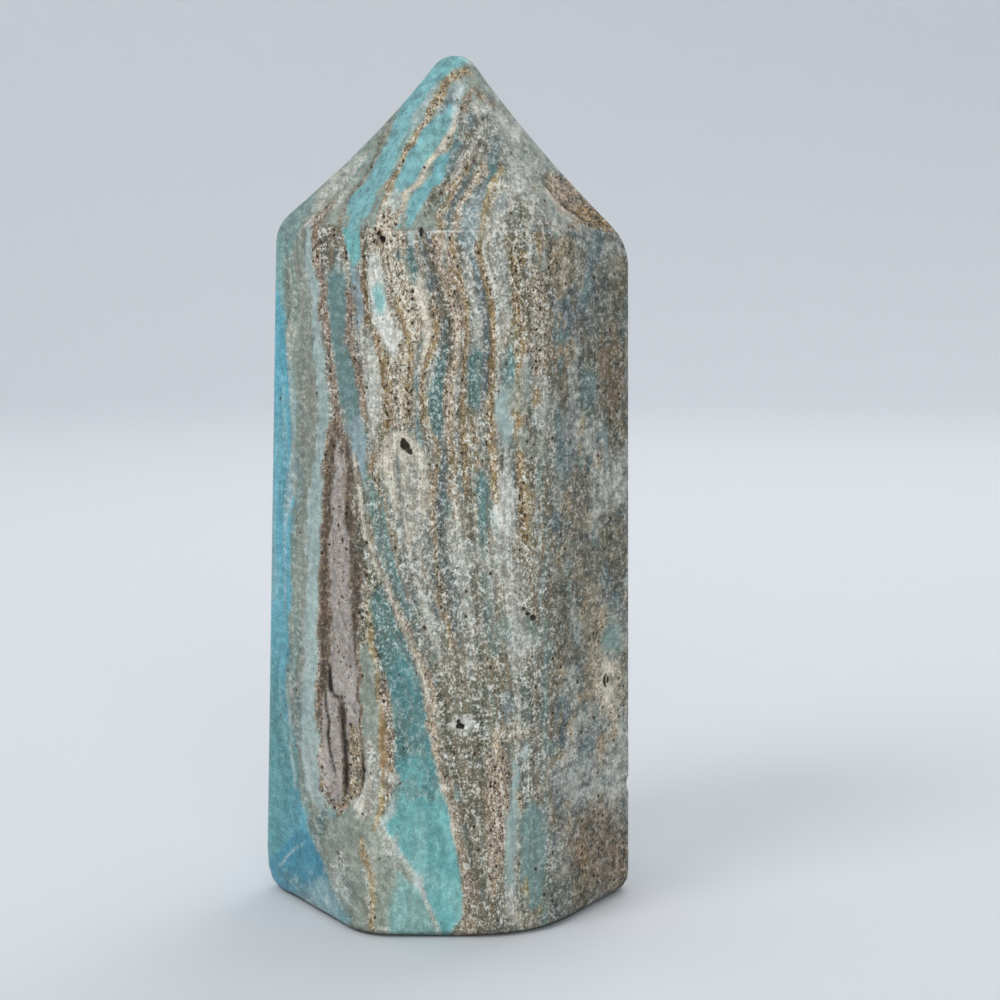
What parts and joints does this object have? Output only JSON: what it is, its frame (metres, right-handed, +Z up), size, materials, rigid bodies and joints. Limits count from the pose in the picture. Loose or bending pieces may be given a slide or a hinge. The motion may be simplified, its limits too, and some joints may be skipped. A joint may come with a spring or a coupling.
{
  "type": "aragonite point",
  "caption": "Polished six-sided point of banded blue and tan aragonite with a faceted tip, standing on a flat base.",
  "frame": {"origin": "on the flat base, under the middle of the column", "axes": "+Z up towards the tip, -Y out of the broad front face, +X to the right as seen from the front"},
  "size_m": [0.0399, 0.0338, 0.0906],
  "materials": {
    "stone": "polished banded aragonite, satin to semi-gloss, with porous matt bands"
  },
  "bodies": {
    "root": {"point": "stone"}
  },
  "joints": []
}
